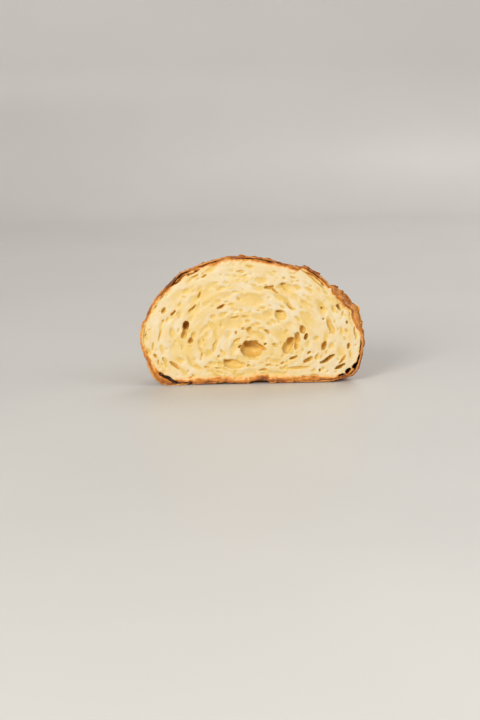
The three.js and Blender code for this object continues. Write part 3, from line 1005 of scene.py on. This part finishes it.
def flakes_piece(material):
    random = np.random.default_rng(41)
    sheets = []
    for degrees, back, around, along, lift in RIM_FLAKES:
        sheets.append(flake_sheet(random, math.radians(degrees), back, around, along, -1, lift))
    # along the wraps' edges
    for _ in range(EDGE_FLAKES):
        turns = random.uniform(0.15, TURNS - 0.1)
        theta = START + turns * TAU
        x = math.cos(theta)
        if math.sin(theta) < -0.35 and abs(x) < 0.9:
            continue
        inside = random.uniform(0.8, 5.0)
        back = float(edge_of(turns)) - inside
        along = random.uniform(1.4, 4.0)
        if back - along < 1.5:
            continue
        around, lift = random.uniform(2.5, 7.0), random.uniform(0.05, 0.45)
        sheets.append(flake_sheet(random, theta, back, around, along, 1, lift, 0.85))
    # and here and there on the crust
    made = 0
    while made < LOOSE_FLAKES:
        theta, back = random.uniform(math.radians(-30), math.radians(210)), random.uniform(6, LENGTH - 10)
        around, along = random.uniform(2.0, 6.0), random.uniform(1.2, 3.5)
        turn = float(turn_share(theta))
        edges = edge_of(turn + np.arange(math.ceil(TURNS) + 1))
        facing = 1 if random.uniform() < 0.6 else -1
        nearest, farthest = sorted((back, back - facing * along))
        if np.any((farthest > edges - 2.0) & (nearest < edges + 6.0)):
            continue
        sheets.append(flake_sheet(random, theta, back, around, along, facing, random.uniform(0.08, 0.35)))
        made += 1

    points, faces, bake_and_shade, gap = [], [], [], []
    start = 0
    for sheet, own_faces, share in sheets:
        points.append(sheet)
        faces += [[v + start for v in face] for face in own_faces]
        start += len(sheet)
        around = crust_browning(sheet, np.full(len(sheet), 5.0), np.full(len(sheet), 9.0))
        bake_and_shade.append(np.clip(around + random.uniform(-0.3, 0.04) + 0.12 * share, 0, 1))
        gap.append(1.0 + 2.5 * (1 - share) + random.uniform(0, 20))
    points = np.concatenate(points)
    attributes = {"gap": np.concatenate(gap), "bake_and_shade": np.concatenate(bake_and_shade)}
    return make_piece("flakes", points, faces, material, attributes)


# ----------------------------
# Materials.


class Shader:
    """A node material. Inputs are set or linked by name, and textures read object coordinates."""

    def __init__(self, name):
        self.material = bpy.data.materials.new(name)
        self.material.use_nodes = True
        self.tree = self.material.node_tree
        self.tree.nodes.clear()
        output = self.tree.nodes.new("ShaderNodeOutputMaterial")
        self.principled = self.tree.nodes.new("ShaderNodeBsdfPrincipled")
        self.tree.links.new(self.principled.outputs[0], output.inputs["Surface"])
        self.place = self.add("ShaderNodeTexCoord").outputs["Object"]

    def add(self, kind, inputs=None, **settings):
        made = self.tree.nodes.new(kind)
        for key, value in settings.items():
            setattr(made, key, value)
        for key, value in (inputs or {}).items():
            self.set(made.inputs[key], value)
        return made

    def set(self, socket, value):
        if isinstance(value, bpy.types.NodeSocket):
            self.tree.links.new(value, socket)
        else:
            socket.default_value = value

    def surface(self, **inputs):
        for key, value in inputs.items():
            self.set(self.principled.inputs[key.replace("_", " ")], value)

    def attribute(self, name):
        return self.add("ShaderNodeAttribute", attribute_name=name).outputs["Fac"]

    def noise(self, size_mm, detail=2.0, roughness=0.5):
        inputs = {"Scale": 1 / (size_mm * MM), "Detail": detail, "Roughness": roughness}
        inputs["Vector"] = self.place
        return self.add("ShaderNodeTexNoise", inputs).outputs["Fac"]

    def math(self, operation, a, b):
        return self.add("ShaderNodeMath", {0: a, 1: b}, operation=operation).outputs[0]

    def remap(self, value, low, high, to_low=0.0, to_high=1.0):
        inputs = {"Value": value, "From Min": low, "From Max": high, "To Min": to_low, "To Max": to_high}
        return self.add("ShaderNodeMapRange", inputs).outputs["Result"]

    def ramp(self, value, stops):
        made = self.add("ShaderNodeValToRGB", {"Fac": value})
        elements = made.color_ramp.elements
        while len(elements) < len(stops):
            elements.new(0.5)
        for element, (position, color) in zip(elements, stops):
            element.position = position
            element.color = (*color, 1)
        return made.outputs["Color"]

    def mix(self, share, a, b, blend_type="MIX"):
        made = self.add("ShaderNodeMix", data_type="RGBA", blend_type=blend_type)
        self.set(made.inputs["Factor"], share)
        for socket, value in ((made.inputs[6], a), (made.inputs[7], b)):
            self.set(socket, value if isinstance(value, bpy.types.NodeSocket) else (*value, 1))
        return made.outputs[2]

    def bump(self, height, strength, distance_mm, normal=None):
        inputs = {"Height": height, "Strength": strength, "Distance": distance_mm * MM}
        if normal:
            inputs["Normal"] = normal
        return self.add("ShaderNodeBump", inputs).outputs["Normal"]


CREAM = (0.81, 0.695, 0.485)
BUTTER = (0.79, 0.56, 0.17)
AMBER = (0.80, 0.47, 0.10)
DEEP = (0.66, 0.33, 0.045)

PALE_GOLD = (0.86, 0.475, 0.15)
GOLD = (0.75, 0.325, 0.06)
BROWN = (0.57, 0.205, 0.026)
DARK = (0.34, 0.10, 0.013)
DARKEST = (0.17, 0.05, 0.01)
# Near black: the painted shade of the crust's gaps on the cut, the last of the rim's colours.
GAP_SHADE = (0.035, 0.012, 0.005)

BROWNS = (PALE_GOLD, GOLD, BROWN, DARK, DARKEST, GAP_SHADE)
CRUST_STOPS = list(zip((0.0, 0.32, 0.62, 0.88, 1.0), BROWNS))
RIM_STOPS = list(zip((0.0, 0.16, 0.4, 0.66, 0.84, 1.0), BROWNS))


def crumb_material():
    shader = Shader("crumb")
    depth = shader.attribute("depth")
    layers = shader.attribute("layers")
    patches = shader.remap(shader.noise(7.0, 3.0), 0.35, 0.68)
    fine = shader.noise(1.3, 3.0, 0.6)
    color = CREAM
    for share, tint in (
        (shader.math("MULTIPLY", patches, 0.55), BUTTER),
        (shader.math("MULTIPLY", shader.attribute("cell"), 0.42), BUTTER),
        (shader.remap(layers, 0.0, -0.6, 0.0, 0.7), BUTTER),
        (shader.remap(fine, 0.42, 0.75, 0.0, 0.3), BUTTER),
        # deeper in the cells: butter, then amber, then a darker brown, sooner in narrow ones; partly the
        # crumb's own colour and partly painted shade
        (shader.remap(depth, 0.06, 0.6), BUTTER),
        (shader.remap(depth, 1.0, 3.6), AMBER),
        (shader.remap(depth, 4.2, 8.0), DEEP),
    ):
        color = shader.mix(share, color, tint)
    bake_and_shade = shader.math("ADD", shader.attribute("bake_and_shade"), shader.remap(fine, 0.3, 0.7, -0.16, 0.16))
    # The crust's colours on the cut, down to near black where the gaps and hollows carry painted shade.
    crusty = shader.ramp(shader.math("MULTIPLY", bake_and_shade, 0.73), RIM_STOPS)
    color = shader.mix(shader.remap(bake_and_shade, -0.5, 0.2), color, crusty)
    normal = shader.bump(shader.noise(0.55, 3.0, 0.6), 0.3, 0.1)
    normal = shader.bump(shader.noise(1.7, 2.0, 0.5), 0.25, 0.25, normal)
    rough, smoother = shader.remap(fine, 0.3, 0.7, 0.5, 0.72), shader.remap(depth, 0.1, 0.6, 0.0, -0.16)
    shader.surface(
        Base_Color=color,
        Roughness=shader.math("ADD", rough, smoother),
        Normal=normal,
        Subsurface_Weight=shader.remap(shader.attribute("bake_and_shade"), -0.95, -0.2, 0.45, 0.0),
        Subsurface_Radius=(1.3, 1.0, 0.55),
        Subsurface_Scale=0.001,
        Specular_IOR_Level=0.35,
    )
    return shader.material


def crust_material():
    shader = Shader("crust")
    bake_and_shade = shader.attribute("bake_and_shade")
    gap = shader.attribute("gap")
    place = shader.add("ShaderNodeSeparateXYZ", {"Vector": shader.place})
    spread = (("X", place.outputs["X"], 90.0), ("Y", gap, 1.5), ("Z", place.outputs["Z"], 90.0))
    layered = {axis: shader.math("MULTIPLY", value, times) for axis, value, times in spread}
    layered = shader.add("ShaderNodeCombineXYZ", layered).outputs[0]
    lines = {"Vector": layered, "Scale": 1.0, "Detail": 3.0, "Roughness": 0.6}
    lines = shader.add("ShaderNodeTexNoise", lines).outputs["Fac"]
    near_edge = shader.remap(gap, 8.0, 0.5)
    streaks = shader.math("MULTIPLY", shader.remap(lines, 0.35, 0.68, -0.26, 0.3), near_edge)
    speckle = shader.remap(shader.noise(0.9, 3.0, 0.65), 0.3, 0.7, -0.12, 0.12)
    blotch = shader.remap(shader.noise(4.0, 3.0, 0.55), 0.3, 0.7, -0.12, 0.12)
    brown = shader.math("ADD", shader.math("ADD", bake_and_shade, streaks), shader.math("ADD", speckle, blotch))
    brown = shader.math("MAXIMUM", shader.math("MINIMUM", brown, 1.0), 0.0)
    color = shader.ramp(brown, CRUST_STOPS)
    scaled = {0: shader.place, 1: (260.0, 520.0, 260.0)}
    scaled = shader.add("ShaderNodeVectorMath", scaled, operation="MULTIPLY").outputs[0]
    bend = shader.add("ShaderNodeTexNoise", {"Vector": scaled, "Scale": 0.8}).outputs["Color"]
    bent = shader.add("ShaderNodeVectorMath", {0: scaled, 1: bend}, operation="ADD").outputs[0]
    cells = {"Vector": bent, "Scale": 1.0}
    cells = shader.add("ShaderNodeTexVoronoi", cells, feature="DISTANCE_TO_EDGE")
    cracks = shader.remap(cells.outputs["Distance"], 0.0, 0.12)
    normal = shader.bump(lines, 0.6, 0.3)
    normal = shader.bump(cracks, 0.35, 0.10, normal)
    normal = shader.bump(shader.noise(0.8, 4.0, 0.6), 0.5, 0.14, normal)
    shader.surface(
        Base_Color=color,
        Roughness=shader.remap(brown, 0.1, 0.8, 0.62, 0.36),
        Normal=normal,
        Subsurface_Weight=0.08,
        Subsurface_Radius=(1.2, 0.5, 0.2),
        Subsurface_Scale=0.001,
        Coat_Weight=0.18,
        Coat_Roughness=0.28,
    )
    return shader.material


# ----------------------------
# The pieces.

field, axes = crumb_field()
points, faces = open_back(*surface_nets(field, axes))
crumb = make_piece(
    "crumb", points, faces, crumb_material(), crumb_attributes(points), crumb_uvs(points, faces)
)

crust = crust_piece(crust_material())
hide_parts(NODE)

flakes = flakes_piece(crust.data.materials[0])

# ----------------------------
# The stage, lights and camera.


# In metres from here on.
FLOOR_REACH, FLOOR_BACK = 4.0, 0.62
SWEEP, SWEEP_STEPS, BACKDROP_TOP = 0.12, 12, 2.5
FLOOR_COLOR = (0.60, 0.585, 0.56)

CAMERA_ELEVATION, CAMERA_ROLL = math.radians(9.0), math.radians(-1.15)
CAMERA_DISTANCE = 0.672
# How far from the picture's middle the point that the camera stands in front of is, and the lens in the
# same pixels.
CAMERA_SHIFT, LENS_PIXELS = (12, 39.2), 1700.0


def stage_material():
    shader = Shader("stage")
    tone = shader.remap(shader.noise(160.0, 3.0), 0.3, 0.7, 0.97, 1.03)
    tone = shader.add("ShaderNodeCombineColor", dict.fromkeys(("Red", "Green", "Blue"), tone))
    shaded = shader.mix(1.0, FLOOR_COLOR, tone.outputs[0], "MULTIPLY")
    shader.surface(Base_Color=shaded, Roughness=0.42, Specular_IOR_Level=0.4)
    return shader.material


def make_stage():
    """A pale floor that sweeps up into a backdrop."""
    profile = [(-FLOOR_REACH, 0.0), (FLOOR_BACK, 0.0)]
    for n in range(1, SWEEP_STEPS + 1):
        turn = 0.5 * math.pi * n / SWEEP_STEPS
        profile.append((FLOOR_BACK + SWEEP * math.sin(turn), SWEEP * (1 - math.cos(turn))))
    profile.append((FLOOR_BACK + SWEEP, BACKDROP_TOP))
    points = [(x, y, z) for y, z in profile for x in (-FLOOR_REACH, FLOOR_REACH)]
    faces = [(2 * n, 2 * n + 1, 2 * n + 3, 2 * n + 2) for n in range(len(profile) - 1)]
    floor = add_object("stage", make_mesh("stage", points, faces, stage_material()))


def area_light(name, place, target, size, power, color):
    light = bpy.data.lights.new(name, "AREA")
    light.size, light.energy, light.color = size, power, color
    holder = add_object(name, light)
    holder.location = place
    holder.rotation_mode = "QUATERNION"
    holder.rotation_quaternion = (Vector(target) - Vector(place)).to_track_quat("-Z", "Y")


def make_camera():
    """Looks along +Y from a little above, with the cut face right of and above the picture's middle."""
    off_centre = Vector((*(shift / LENS_PIXELS for shift in CAMERA_SHIFT), -1)).normalized()
    target = Vector((0, low_corner.y, 0.5 * high_corner.z))
    back = Vector((0, -math.cos(CAMERA_ELEVATION), math.sin(CAMERA_ELEVATION)))
    data = bpy.data.cameras.new("camera")
    data.lens, data.sensor_width, data.clip_start = 85, 36, 0.01
    camera = add_object("camera", data)
    camera.location = target + CAMERA_DISTANCE * back
    camera.rotation_mode = "QUATERNION"
    straight = (-back).to_track_quat("-Z", "Y")
    aim = Vector((0, 0, -1)).rotation_difference(off_centre).inverted()
    camera.rotation_quaternion = straight @ aim @ Quaternion((0, 0, 1), CAMERA_ROLL)
    bpy.context.scene.camera = camera


make_stage()
make_camera()
middle = (0, low_corner.y, 0.02)
# name, place, target, size, watts and colour
area_light("key", (-0.42, -0.85, 0.42), middle, 0.35, 7.1, (1.0, 0.965, 0.91))
area_light("fill", (0.9, -0.3, 0.7), middle, 0.9, 3.0, (0.98, 0.98, 0.98))
area_light("back", (0.3, 0.5, 0.8), middle, 0.5, 3.0, (1.0, 0.98, 0.95))

world = bpy.data.worlds.new("studio")
world.use_nodes = True
sky = world.node_tree.nodes["Background"].inputs
sky["Color"].default_value, sky["Strength"].default_value = (0.97, 0.95, 0.93, 1), 0.45
bpy.context.scene.world = world
bpy.context.scene.view_settings.view_transform = "Standard"
